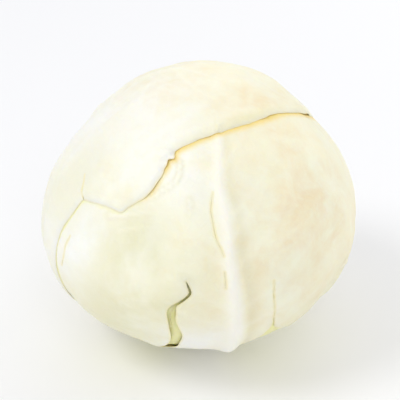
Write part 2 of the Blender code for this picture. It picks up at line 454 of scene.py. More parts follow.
# The yellowing and the painted shade start a little past the edge that makes them and end this far
# out.
STAIN_AND_SHADE_START = 0.0002
# Width of the band along edges and cracks that is partly real yellowing and partly painted shade.
YELLOWING_AND_SHADE_WIDTH = 0.0016
# Widths of the painted shadow under the cap leaf's lip and torn edge.
PAINTED_LIP_SHADOW_WIDTHS = (0.0014, 0.0034)


# ---- leaf formulas


def margin_distance(leaf, spread):
    """Metres outside the leaf's drawn edge, which wavers a little; negative inside."""
    d = from_chart(leaf, spread)
    distance = distance_outside(spread, leaf["outline"]) * METRES_PER_DEGREE
    waver = 0.0009 * noise(d, 0.013, leaf["seed"]) + 0.0003 * noise(d, 0.004, leaf["seed"] + 1)
    return distance + leaf["waver"] * waver


def crack_distance(leaf, spread):
    """Metres into the nearest crack of the leaf, negative outside it; cracks taper at the ends."""
    distance = np.full(len(spread), -1.0)
    for line, half_width in leaf["cracks"]:
        apart, share = distance_to_curve(spread, line)
        width = half_width * (0.25 + np.sqrt(np.clip(4.0 * share * (1.0 - share), 0.0, 1.0)))
        width *= 1.0 + 0.8 * noise(from_chart(leaf, spread), 0.0026, leaf["seed"] + 7)
        distance = np.maximum(distance, width - apart * METRES_PER_DEGREE)
    return distance


def edge_distance(leaf, spread):
    """Metres outside the leaf, negative inside: the larger of the distances outside its drawn
    edge and into its cracks."""
    return np.maximum(margin_distance(leaf, spread), crack_distance(leaf, spread))


def past_edges(d):
    """For every leaf, how many metres outside its edge the directions are."""
    return [
        distance_outside(to_chart(leaf, d), leaf["rough_outline"]) * METRES_PER_DEGREE
        for leaf in LEAVES
    ]


def ball_radius(d, past):
    """The head's surface less the leaves that lie there, counted softly across their edges."""
    layers = sum(1.0 - ease(each / EVENED_OVER + 0.5) for each in past)
    return head_radius(d) - LAYER * layers


def rib_field(leaf, spread):
    """Height of the midrib: a bell across it, whose width and height shrink to the tip. One
    flank may be steeper than the other and fall to a shallow trough beside the rib."""
    rib_x, rib_y = leaf["rib_curve"].T
    across = (spread[:, 0] - np.interp(spread[:, 1], rib_y, rib_x)) * METRES_PER_DEGREE
    share = np.clip((spread[:, 1] - rib_y[0]) / (rib_y[-1] - rib_y[0]), 0.0, 1.0)
    taper = (1.0 - share) ** leaf.get("rib_taper", 1.6)
    at_foot, at_tip = leaf["rib_width"]
    width = at_tip + (at_foot - at_tip) * taper
    at_foot, at_tip = leaf["rib_height"]
    height = (at_tip + (at_foot - at_tip) * taper) * ease((rib_y[-1] - spread[:, 1]) / 8.0)
    steep = leaf.get("rib_steep", 1.0)
    flank = np.where(across > 0.0, width * steep, width)
    trough = (1.0 - steep) * 0.25 * bell((across - 1.4 * width) / (0.9 * width))
    return height * (bell(across / flank) - trough)


def vein_lines(leaf):
    """Lateral veins off both sides of the midrib and their branches: (curve, width, height).
    Each heads outwards and bends up towards the tip."""
    random = np.random.default_rng(leaf["seed"] + 50)
    low, high, count = leaf["laterals"]
    rib = leaf["rib_curve"]
    lines = []
    for side, index in itertools.product((-1.0, 1.0), range(count)):
        share = (index + 0.5 + 0.35 * random.uniform(-1, 1)) / count
        up = low + (high - low) * share**0.92
        start = rib[np.argmin(np.abs(rib[:, 1] - up))]
        reach = (76.0 - 34.0 * share) * random.uniform(0.85, 1.1)
        turn = np.radians(np.linspace(70.0 - 22.0 * share, 22.0, 12) + random.uniform(-5, 5))
        wiggle = np.cumsum(random.normal(0.0, 0.05, 12))
        heading = np.stack([side * np.sin(turn + wiggle), np.cos(turn + wiggle)], axis=-1)
        path = start + np.vstack([[0.0, 0.0], np.cumsum(heading * reach / 12.0, axis=0)])
        lines.append((path, 0.0021, leaf["vein_height"]))
        for branch, outwards in ((2, 1), (4, -1), (5, 1), (7, -1), (8, 1)):
            lean = turn[branch] + outwards * np.radians(random.uniform(28, 44))
            lean = lean - outwards * np.linspace(0.0, 0.45, 6)
            heading = np.stack([side * np.sin(lean), np.cos(lean)], axis=-1)
            length = reach * (0.42 - 0.03 * branch) * random.uniform(0.8, 1.2)
            twig = path[branch] + np.vstack([[0.0, 0.0], np.cumsum(heading * length / 6.0, axis=0)])
            lines.append((twig, 0.0013, leaf["vein_height"] / 2.0))
    return lines


def vein_field(leaf, spread):
    """Height of the veins and strength of the painted shade in the creases beside them: bells across
    each line, fading along it; where lines meet the higher one counts."""
    field = np.zeros(len(spread))
    painted_crease_shade = np.zeros(len(spread))
    for line, width, height in vein_lines(leaf) + leaf["wrinkles"]:
        low, high = line.min(axis=0) - 4.0, line.max(axis=0) + 4.0
        near = np.flatnonzero(((spread > low) & (spread < high)).all(axis=1))
        if len(near) == 0:
            continue
        apart, share = distance_to_curve(spread[near], line)
        fade = (1.0 - share) ** 0.8
        apart = apart * METRES_PER_DEGREE / (width * (0.5 + 0.5 * fade))
        field[near] = np.maximum(field[near], height * fade * bell(apart))
        strength = fade * np.clip((height - 0.0003) / 0.0008, 0.0, 1.0)
        beside = strength * bell(apart / 2.2) * (1.0 - bell(apart))
        painted_crease_shade[near] = np.maximum(painted_crease_shade[near], beside)
    return field, painted_crease_shade


def puckers(leaf, d):
    """The gentle unevenness of a blade: noise over 26, 11 and 5 mm."""
    seed = leaf["seed"] + 20
    broad = 0.00070 * noise(d, 0.026, seed)
    middle = 0.00026 * noise(d, 0.011, seed + 1)
    return broad + middle + 0.00007 * noise(d, 0.005, seed + 2)


def lift(leaf, spread, inside, d):
    """How far parts of a leaf stand off what is under them. The cap leaf's lip stands off and
    turns down again at its edge, its torn edge curls up, and the knot between them is a rough
    bump; the front leaf is open beside the tear at its foot."""
    raised = np.zeros(len(spread))
    if leaf is CAP_LEAF:
        apart, share = distance_to_curve(spread, leaf["lip_curve"])
        apart = apart * METRES_PER_DEGREE
        ends = ease(share / 0.06) * ease((1.0 - share) / 0.25)
        wave = 1.0 + 0.22 * noise(d, 0.016, 71)
        rise = LIP_STAND * ends * wave * (1.0 - ease(apart / LIP_REACH))
        turn = LIP_TURN[0] + (LIP_TURN[1] - LIP_TURN[0]) * share
        turn *= 1.0 + 0.15 * noise(d, 0.012, 72)
        rise *= 1.0 - 0.97 * np.clip(1.0 - apart / turn, 0.0, 1.0)
        raised += rise
        torn = bell(np.hypot(*(spread - TORN_MIDDLE).T) / TORN_SIZE)
        curl = TORN_STAND * torn * (1.0 - ease(inside / TORN_REACH)) ** 1.3
        raised += curl * (1.0 - 0.35 * (1.0 - ease(inside / TORN_RIM_IN)))
        raised += TORN_RIM * torn * bell((inside - TORN_RIM_IN) / TORN_RIM_WIDTH)
        knot = bell(np.hypot(*(spread - KNOT).T) / KNOT_SIZE)
        raised += KNOT_HEIGHT * knot * (1.0 + noise(d, 0.0032, 73))
    if leaf is FRONT_LEAF:
        beside = bell((spread[:, 0] - TEAR_ACROSS) / TEAR_SIZE) * ease((-10.0 - spread[:, 1]) / 24.0)
        raised += TEAR_STAND * beside * (1.0 - ease(inside / TEAR_REACH))
    return raised


def exposure(rank, d, past):
    """1 where a leaf shows and 0 where those outside it cover it, which starts further in
    under the lip."""
    exposed = np.ones(len(d))
    for outer, outside in zip(LEAVES[:rank], past):
        under = 0.003 - outside
        if outer is CAP_LEAF:
            apart, _ = distance_to_curve(to_chart(outer, d), outer["lip_curve"])
            under -= 0.006 * (1.0 - ease(apart / 14.0))
        exposed *= 1.0 - ease(under / 0.005)
    return exposed


def yellowing_and_painted_shade(rank, d, past):
    """Strengths of two marks that the leaves outside leave on a leaf: yellowing along their edges and
    cracks, partly real yellowing and partly painted shade, and a wider, warmer painted shadow under
    the cap leaf's lip and torn edge."""
    yellowing_and_shade = np.zeros(len(d))
    painted_lip_shadow = np.zeros(len(d))
    for outer, outside in zip(LEAVES[:rank], past):
        spread = to_chart(outer, d)
        strength = 0.25 + 0.65 * patches(d, YELLOWING_AND_SHADE_SPOTS)
        yellowing_and_shade = np.maximum(yellowing_and_shade, strength * (1.0 - ease((outside - STAIN_AND_SHADE_START) / YELLOWING_AND_SHADE_WIDTH)))
        for line, half_width in outer["cracks"]:
            apart, _ = distance_to_curve(spread, line)
            crack = half_width / WIDE_CRACK * (1.0 - ease(apart * METRES_PER_DEGREE / YELLOWING_AND_SHADE_WIDTH))
            yellowing_and_shade = np.maximum(yellowing_and_shade, crack**1.5)
        if outer is CAP_LEAF:
            apart, _ = distance_to_curve(spread, outer["lip_curve"])
            by_lip = 1.0 - ease((apart - 6.0) / 8.0)
            torn = 0.75 * bell(np.hypot(spread[:, 0] - 65.0, spread[:, 1] - 50.0) / 9.0)
            strength = np.maximum(by_lip, torn)
            band = PAINTED_LIP_SHADOW_WIDTHS[0] + PAINTED_LIP_SHADOW_WIDTHS[1] * strength
            painted_lip_shadow = strength * (1.0 - ease((outside - STAIN_AND_SHADE_START) / band))
    return np.clip(yellowing_and_shade, 0.0, 1.0), painted_lip_shadow


def relief(leaf, spread, inside, d):
    """How far a leaf's puckers bend both its skins, and how far its rib, its veins and the
    rest of the puckers thicken it. All but the rib fade out towards the edge."""
    crinkle = puckers(leaf, d) * ease(inside / THIN_NEAR_EDGE)
    veins, _ = vein_field(leaf, spread)
    thicker = rib_field(leaf, spread) + veins * ease(inside / 0.0025)
    return 0.6 * np.maximum(crinkle, -0.0001), thicker + 0.4 * crinkle


def bed_under(rank, d, past):
    """Height of what a leaf lies on: the ball, and each leaf inside it with its relief."""
    bed = ball_radius(d, past) + LEAF_GAP
    for index in range(rank + 1, len(LEAVES)):
        inner = LEAVES[index]
        width = DRAPE_WIDTH * (1.0 + DRAPE_GROWTH * (index - rank - 1))
        lies_over = 1.0 - ease((past[index] - DRAPE_START) / width)
        rib = np.maximum(rib_field(inner, to_chart(inner, d)), 0.0)
        exposed = exposure(index, d, past)
        bed += lies_over * (LAYER + RIB_SHOWN_THROUGH * rib * (1.0 - exposed))
        near = np.flatnonzero(lies_over * exposed > 0.001)
        if len(near) > 0:
            spread = to_chart(inner, d[near])
            bent, thicker = relief(inner, spread, -past[index][near], d[near])
            bed[near] += (lies_over * exposed)[near] * (bent + thicker)
    return bed


def blade_thickness(leaf, spread, inside, rib, fleshy, lip):
    """The blade's thickness without its relief: it thins to the edge, and is thicker towards
    the foot and where the rib meets the edge."""
    middle = BLADE + FOOT_THICKER_BY * fleshy
    thin = EDGE_THICKNESS + 0.2 * np.maximum(rib, 0.0) + FOOT_EDGE_THICKER_BY * fleshy
    thin -= LIP_THINNER_BY * lip
    if leaf is FRONT_LEAF:
        thin += TEAR_EDGE_THICKER_BY * ease((TEAR_TOP - spread[:, 1]) / TEAR_FADES_OVER)
    return thin + (middle - thin) * ease(inside / THIN_NEAR_EDGE)


def leaf_skins(leaf, spread):
    """Directions of places on a leaf, the distances of its two skins from the ball's centre
    along them, and its masks. The inner skin is the bed plus what lifts and bends the leaf, and
    the outer one lies the leaf's thickness further out."""
    d = from_chart(leaf, spread)
    inside = -margin_distance(leaf, spread)
    rim = -edge_distance(leaf, spread)
    past = past_edges(d)
    rank = LEAVES.index(leaf)
    bed = bed_under(rank, d, past) - EDGE_SINKS * (1.0 - ease(inside / EDGE_SINKS_WITHIN))
    exposed = exposure(rank, d, past)
    rib = rib_field(leaf, spread)
    veins, painted_crease_shade = vein_field(leaf, spread)
    fleshy = ease((FOOT_LATITUDE - leaf["latitude"] - spread[:, 1]) / FOOT_FADES_OVER)
    lip = np.zeros(len(d))
    if leaf is CAP_LEAF:
        apart, share = distance_to_curve(spread, leaf["lip_curve"])
        lip = (1.0 - ease(apart * METRES_PER_DEGREE / LIP_THIN_WITHIN)) * ease(share / 0.05)
    bent, thicker = relief(leaf, spread, inside, d)
    yellowing_and_shade, painted_lip_shadow = yellowing_and_painted_shade(rank, d, past)
    lower = bed + lift(leaf, spread, inside, d) + exposed * bent
    upper = lower + blade_thickness(leaf, spread, inside, rib, fleshy, lip) + exposed * thicker
    masks = {
        # Yellowed rims, partly painted shade along the edges and cracks.
        "edge": 1.0 - ease((rim - 0.0002) / 0.0012),
        # Paler veins, and painted highlights on the veins and wrinkles.
        "vein_and_highlight": np.clip(veins / 0.0010, 0.0, 1.0),
        # Painted shade in the creases beside wrinkles and in the trough beside the rib.
        "painted_crease_shade": np.clip(painted_crease_shade - rib / 0.00040, 0.0, 1.0),
        # Paler rib, partly a painted highlight on it.
        "rib": np.clip(rib / 0.0018, 0.0, 1.0),
        # Where the lip turns down; its colour is painted shade on the turned-down lip.
        "lip": lip,
        # Partly real yellowing, partly painted shade along the edges and cracks of the leaves outside.
        "yellowing_and_shade": yellowing_and_shade,
        # Painted shadow under the cap leaf's lip and torn edge.
        "painted_lip_shadow": painted_lip_shadow,
        "foot": fleshy,
        "blush": patches(d, BLUSHES),
        "green": patches(d, GREENS),
        "pale": patches(d, PALES),
        # Painted shade: olive far down in the tear's dark opening.
        "painted_gap_shade": patches(d, GAP_SHADE_SPOTS),
    }
    return d, lower, upper, masks


# ---- meshes


def triangle_grid(low, high, step):
    """Equal triangles over a rectangle: rows of points, every second row shifted by half."""
    row_step = step * math.sqrt(0.75)
    columns = int(np.ceil((high[0] - low[0]) / step)) + 1
    rows = int(np.ceil((high[1] - low[1]) / row_step)) + 1
    i, j = np.meshgrid(np.arange(columns), np.arange(rows))
    x = low[0] + step * (i + 0.5 * (j % 2))
    y = low[1] + row_step * j
    spread = np.stack([x.ravel(), y.ravel()], axis=-1)
    here = (j[:-1, :-1] * columns + i[:-1, :-1]).ravel()
    right, above, corner = here + 1, here + columns, here + columns + 1
    even = (j[:-1, :-1] % 2 == 0).ravel()
    third = np.where(even, right, corner)
    first = np.stack([here, third, above], axis=-1)
    second = np.stack([np.where(even, right, here), np.where(even, corner, right),
                       np.where(even, above, corner)], axis=-1)
    return spread, np.vstack([first, second])


# How a triangle is divided when its sides 01, 12 or 20 (bits 1, 2, 4) hold the points 3, 4, 5.
DIVISIONS = {
    0: ((0, 1, 2),),
    1: ((0, 3, 2), (3, 1, 2)),
    2: ((0, 1, 4), (0, 4, 2)),
    3: ((3, 1, 4), (0, 3, 2), (3, 4, 2)),
    4: ((0, 1, 5), (5, 1, 2)),
    5: ((0, 3, 5), (3, 1, 2), (3, 2, 5)),
    6: ((4, 2, 5), (0, 1, 4), (0, 4, 5)),
    7: ((0, 3, 5), (3, 1, 4), (5, 4, 2), (3, 4, 5)),
}


def divide(points, faces, wanted, share):
    """Splits sides of triangles: wanted says which of the distinct sides, and share where on
    each, given both ends' rows. Neighbours stay joined."""
    sides = np.sort(np.stack([faces[:, [0, 1]], faces[:, [1, 2]], faces[:, [2, 0]]], axis=1), axis=2)
    keys = sides[..., 0] * len(points) + sides[..., 1]
    distinct, index = np.unique(keys, return_inverse=True)
    index = index.reshape(-1, 3)
    start, end = distinct // len(points), distinct % len(points)
    split = wanted(index, start, end)
    names = np.full(len(distinct), -1)
    names[split] = len(points) + np.arange(split.sum())
    t = share(start[split], end[split])[:, None]
    made = points[start[split]] * (1 - t) + points[end[split]] * t
    corners = np.hstack([faces, names[index]])
    code = (names[index] >= 0) @ np.array([1, 2, 4])
    parts = [corners[code == c][:, triple] for c, rule in DIVISIONS.items() for triple in rule]
    return np.vstack([points, made]), np.vstack(parts)


def refine_near(points, faces, distance, band):
    """Halves the sides of every triangle that has a corner within the band of the edge."""
    close = (np.abs(distance)[faces] < band).any(axis=1)

    def wanted(index, start, end):
        """The sides of the close triangles."""
        split = np.zeros(len(start), bool)
        split[index[close].ravel()] = True
        return split

    def halfway(start, end):
        """Every side is split in its middle."""
        return np.full(len(start), 0.5)

    return divide(points, faces, wanted, halfway)


def clip(points, faces, distance):
    """Keeps the triangles inside the edge, cutting those that straddle it."""

    def wanted(index, start, end):
        """The sides with one end outside the edge and one inside."""
        return distance[start] * distance[end] < 0.0

    def crossing(start, end):
        """Where the distance is zero if it changes evenly along the side."""
        return distance[start] / (distance[start] - distance[end])

    points, faces = divide(points, faces, wanted, crossing)
    distance = np.concatenate([distance, np.zeros(len(points) - len(distance))])
    faces = faces[distance[faces].sum(axis=1) < 0.0]
    used, faces = np.unique(faces, return_inverse=True)
    return points[used], faces.reshape(-1, 3)


def snapped(leaf, points, distance):
    """Moves places that almost lie on the edge onto it, down the slope of the distance."""
    close = np.flatnonzero((np.abs(distance) < SNAP) & (distance != 0.0))
    slopes = []
    for shift in ((SLOPE_STEP, 0.0), (0.0, SLOPE_STEP)):
        ahead = edge_distance(leaf, points[close] + shift)
        slopes.append((ahead - distance[close]) / SLOPE_STEP)
    slope = np.stack(slopes, axis=-1)
    scale = distance[close] / np.maximum((slope**2).sum(axis=1), 1e-9)
    points = points.copy()
    points[close] -= slope * scale[:, None]
    distance = distance.copy()
    distance[close] = 0.0
    return points, distance


def unpinched(points, faces):
    """Drops the faces round any place where the edge touches itself."""
    pinched = np.ones(1, bool)
    while pinched.any():
        pinched = np.bincount(open_sides(faces)[:, 0], minlength=len(points)) > 1
        faces = faces[~pinched[faces].any(axis=1)]
    used, faces = np.unique(faces, return_inverse=True)
    return points[used], faces.reshape(-1, 3)


def normals_of(points, faces):
    """Unit normals at the points: the area-weighted mean of the faces round each."""
    a, b, c = points[faces[:, 0]], points[faces[:, 1]], points[faces[:, 2]]
    across = np.cross(b - a, c - a)
    total = np.zeros_like(points)
    for corner in range(3):
        np.add.at(total, faces[:, corner], across)
    return total / np.maximum(np.linalg.norm(total, axis=1), 1e-20)[:, None]


def open_sides(faces):
    """The sides that only one face has, each in that face's direction."""
    sides = np.vstack([faces[:, [0, 1]], faces[:, [1, 2]], faces[:, [2, 0]]])
    keys = sides.min(axis=1) * (faces.max() + 1) + sides.max(axis=1)
    _, index, count = np.unique(keys, return_inverse=True, return_counts=True)
    return sides[count[index.reshape(-1)] == 1]


def shell(upper, lower, faces):
    """A closed leaf from its two skins: the outer one, the inner one turned round, and a
    rounded rim between them that bows out by a third of the thickness, 0.9 mm at most."""
    count = len(upper)
    rim = open_sides(faces)
    out = np.zeros_like(upper)
    normal = normals_of(upper, faces)
    along = upper[rim[:, 1]] - upper[rim[:, 0]]
    for end in range(2):
        np.add.at(out, rim[:, end], np.cross(along, normal[rim[:, end]]))
    on_rim = np.unique(rim)
    out = out[on_rim]
    out /= np.maximum(np.linalg.norm(out, axis=1), 1e-12)[:, None]
    thickness = np.linalg.norm(upper[on_rim] - lower[on_rim], axis=1)[:, None]
    middle = (upper[on_rim] + lower[on_rim]) / 2.0 + out * np.minimum(thickness / 3.0, 0.0009)
    place = np.full(count, -1)
    place[on_rim] = 2 * count + np.arange(len(on_rim))
    a, b = rim.T
    bands = []
    rows = ((a, b), (place[a], place[b]), (a + count, b + count))
    for (top_a, top_b), (bottom_a, bottom_b) in zip(rows, rows[1:]):
        bands.append(np.stack([top_b, top_a, bottom_a], axis=-1))
        bands.append(np.stack([top_b, bottom_a, bottom_b], axis=-1))
    every_face = np.vstack([faces, faces[:, ::-1] + count, *bands])
    return np.vstack([upper, lower, middle]), every_face, on_rim


def make_object(name, points, faces, masks):
    """A smooth-shaded mesh object at the origin, with the masks as point attributes."""
    mesh = bpy.data.meshes.new(name)
    mesh.vertices.add(len(points))
    mesh.vertices.foreach_set("co", points.astype(np.float32).ravel())
    mesh.loops.add(faces.size)
    mesh.loops.foreach_set("vertex_index", faces.astype(np.int32).ravel())
    mesh.polygons.add(len(faces))
    mesh.polygons.foreach_set("loop_start", np.arange(0, faces.size, 3, dtype=np.int32))
    for mask, values in masks.items():
        layer = mesh.attributes.new(mask, "FLOAT", "POINT")
        layer.data.foreach_set("value", values.astype(np.float32))
    mesh.update()
    mesh.validate()
    mesh.shade_smooth()
    made = bpy.data.objects.new(name, mesh)
    bpy.context.scene.collection.objects.link(made)
    return made


def settle(leaf):
    """Works out the curves that the formulas need of a leaf."""
    leaf["outline"] = smooth_curve(leaf["edge"], closed=True)
    leaf["rough_outline"] = smooth_curve(leaf["edge"], step=ROUGH_CURVE_STEP, closed=True)
    leaf["rib_curve"] = smooth_curve(leaf["rib"], step=RIB_CURVE_STEP)
    leaf["lip_curve"] = smooth_curve(LIP_LINE, step=RIB_CURVE_STEP)
    leaf["cracks"] = [(smooth_curve(line), width) for line, width in CRACKS.get(leaf["node"], ())]
    leaf["wrinkles"] = [
        (smooth_curve(line), width, height) for line, width, height in WRINKLES.get(leaf["node"], ())
    ]


def make_leaf(leaf):
    """A grid over the leaf, finer near its edge, cut along the edge, wrapped round the head
    and given its thickness."""
    low, high = leaf["outline"].min(axis=0) - 2.0, leaf["outline"].max(axis=0) + 2.0
    points, faces = triangle_grid(low, high, GRID_STEP * leaf["coarse"])
    distance = edge_distance(leaf, points)
    keep = (distance[faces] < 2.0 * GRID_STEP * METRES_PER_DEGREE).any(axis=1)
    used, faces = np.unique(faces[keep], return_inverse=True)
    points, faces, distance = points[used], faces.reshape(-1, 3), distance[used]
    for band in EDGE_BANDS:
        points, faces = refine_near(points, faces, distance, band)
        distance = edge_distance(leaf, points)
    points, faces = refine_near(points, faces, crack_distance(leaf, points), CRACK_BAND)
    points, distance = snapped(leaf, points, edge_distance(leaf, points))
    points, faces = unpinched(*clip(points, faces, distance))
    d, lower, upper, masks = leaf_skins(leaf, points)
    outer = BALL_CENTRE + d * upper[:, None]
    inner = BALL_CENTRE + d * lower[:, None]
    for skin in (outer, inner):
        skin[:, 2] = np.maximum(skin[:, 2], LOWEST)
    all_points, all_faces, on_rim = shell(outer, inner, faces)
    masks = {key: np.concatenate([v, v, v[on_rim]]) for key, v in masks.items()}
    return make_object(leaf["node"] + "_blade", all_points, all_faces, masks)


def ring_faces(rows, columns):
    """Triangles over rings of points, one ring after another. The last two points close the
    first and the last ring."""
    index = np.arange(rows * columns).reshape(rows, columns)
    turned = np.roll(index, -1, axis=1)
    here, right = index[:-1].ravel(), turned[:-1].ravel()
    above, corner = index[1:].ravel(), turned[1:].ravel()
    first_end = np.full(columns, rows * columns)
    return np.vstack([
        np.stack([here, right, corner], axis=-1),
        np.stack([here, corner, above], axis=-1),
        np.stack([first_end, turned[0], index[0]], axis=-1),
        np.stack([index[-1], turned[-1], first_end + 1], axis=-1),
    ])


def make_ball():
    """The ball of inner leaves: a grid of azimuths and latitudes with both poles closed, just
    inside the leaves' bed and gently uneven."""
    columns, rows = 192, 96
    azimuth = np.arange(columns) * 360.0 / columns
    latitude = np.linspace(-90.0, 90.0, rows + 1)[1:-1]
    a, b = np.meshgrid(azimuth, latitude)
    poles = direction(np.array([0.0, 0.0]), np.array([-90.0, 90.0]))
    d = np.vstack([direction(a.ravel(), b.ravel()), poles])
    radius = ball_radius(d, past_edges(d)) + 0.0004 * noise(d, 0.02, 5) - 0.0007
    points = BALL_CENTRE + d * radius[:, None]
    points[:, 2] = np.maximum(points[:, 2], STALK_TOP + LOWEST)
    masks = {key: np.zeros(len(d)) for key in MASKS}
    return make_object("inner_head_ball", points, ring_faces(rows - 1, columns), masks)


def make_stalk():
    """The cut end: rings of points from the middle of the cut face out to the rounded edge,
    up the side and over the hidden top, closed at both ends. Five broad lobes and thirteen
    small ones take a little off the radius."""
    columns = 160
    face_out = (0.06, 0.16, 0.3, 0.45, 0.6, 0.74, 0.86, 0.94)
    side = ((0.975, 0.0003), (1.0, 0.0009), (1.0, 0.003), (1.0, 0.006))
    top_out = (1.0, 0.6, 0.2)
    rings = [(out, 0.0) for out in face_out] + list(side) + [(out, STALK_TOP) for out in top_out]
    out, height = np.array(rings).T
    angle = np.arange(columns) * 2.0 * math.pi / columns
    lobes = 1.0 - 0.02 * (1 + np.cos(5 * angle + 0.6)) - 0.008 * (1 + np.sin(13 * angle))
    radius = STALK_RADIUS * out[:, None] * np.where(out[:, None] > 0.3, lobes, 1.0)
    x, y = radius * np.cos(angle), radius * np.sin(angle)
    z = np.repeat(height[:, None], columns, axis=1)
    points = np.stack([x.ravel(), y.ravel(), z.ravel()], axis=-1)
    points = np.vstack([points, [[0.0, 0.0, 0.0], [0.0, 0.0, STALK_TOP]]])
    return make_object("stalk_end", points, ring_faces(len(rings), columns), {})


# ---- materials


BUMP_STRENGTH = 0.8


class Socket:
    """A shader node's output, so that sums on it are written as Python expressions."""

    def __init__(self, material, output):
        """The output, and the material that its node belongs to."""
        self.material = material
        self.output = output

    def math(self, operation, *values):
        """A Math node on the values, each a number or a Socket."""
        inputs = dict(enumerate(values))
        return self.material.node("ShaderNodeMath", {"operation": operation}, inputs)

    def __add__(self, other):
        """This plus other."""
        return self.math("ADD", self, other)

    def __sub__(self, other):
        """This less other."""
        return self.math("SUBTRACT", self, other)

    def __rsub__(self, other):
        """Other less this."""
        return self.math("SUBTRACT", other, self)

    def __mul__(self, other):
        """This times other."""
        return self.math("MULTIPLY", self, other)

    def __truediv__(self, other):
        """This divided by other."""
        return self.math("DIVIDE", self, other)

    def __rtruediv__(self, other):
        """Other divided by this."""
        return self.math("DIVIDE", other, self)

    __radd__ = __add__
    __rmul__ = __mul__

    def clamped(self, low=0.0, high=1.0):
        """This, kept between low and high."""
        return self.math("MINIMUM", self.math("MAXIMUM", self, low), high)

    def eased(self, low, high):
        """0 below low, 1 above high, and a smooth rise between."""
        inputs = {"Value": self, "From Min": low, "From Max": high}
        return self.material.node("ShaderNodeMapRange", {"interpolation_type": "SMOOTHSTEP"}, inputs)


class Material:
    """A material under construction. Every node comes from its method node."""

    def __init__(self, name):
        """A new material with its Principled shader."""
        self.made = bpy.data.materials.new(name)
        self.made.use_nodes = True
        self.tree = self.made.node_tree
        self.shader = self.tree.nodes["Principled BSDF"]

    def put(self, socket, value):
        """Links a Socket to a node's input, or sets the input to a plain value."""
        if isinstance(value, Socket):
            self.tree.links.new(value.output, socket)
        else:
            socket.default_value = value

    def node(self, kind, settings, inputs, output=0):
        """A node of the kind: its settings first, then its inputs' values or links. Gives the
        output of that name or number."""
        made = self.tree.nodes.new(kind)
        for name, value in settings.items():
            setattr(made, name, value)
        for slot, value in inputs.items():
            self.put(made.inputs[slot], value)
        return Socket(self, made.outputs[output])

    def attribute(self, name):
        """A mask of the mesh."""
        return self.node("ShaderNodeAttribute", {"attribute_name": name}, {}, "Fac")

    def place(self):
        """Object coordinates, in metres."""
        return self.node("ShaderNodeTexCoord", {}, {}, "Object")

    def noise(self, place, per_metre, detail, roughness, distortion=0.0):
        """Cloudy values from 0 to 1, of so many to the metre."""
        return self.node("ShaderNodeTexNoise", {"noise_dimensions": "3D"}, {
            "Vector": place, "Scale": per_metre, "Detail": detail,
            "Roughness": roughness, "Distortion": distortion,
        })

    def cells(self, place, per_metre, feature):
        """Distances in a net of random cells, of so many to the metre."""
        inputs = {"Vector": place, "Scale": per_metre}
        return self.node("ShaderNodeTexVoronoi", {"feature": feature}, inputs)

    def mix(self, share, first, second):
        """A colour between two, by share."""
        inputs = {0: share, 6: first, 7: second}
        return self.node("ShaderNodeMix", {"data_type": "RGBA"}, inputs, 2)

    def mixed(self, base, layers):
        """The base colour with each layer's colour laid over it by the layer's share."""
        for share, tone in layers:
            base = self.mix(share, base, colour(*tone))
        return base

    def bump(self, height, distance):
        """A normal from heights, 1 being the distance in metres."""
        inputs = {"Height": height, "Distance": distance, "Strength": BUMP_STRENGTH}
        return self.node("ShaderNodeBump", {}, inputs)

    def finish(self, **values):
        """Sets or links the shader's inputs, named with underscores, and gives the material."""
        names = {name.replace(" ", "_").lower(): name for name in self.shader.inputs.keys()}
        for name, value in values.items():
            self.put(self.shader.inputs[names[name]], value)
        return self.made


def colour(red, green, blue):
    """A display colour as the shader's linear one, by the usual display curve."""
    display = np.array([red, green, blue])
    linear = np.where(display <= 0.04045, display / 12.92, ((display + 0.055) / 1.055) ** 2.4)
    return (*linear.tolist(), 1.0)


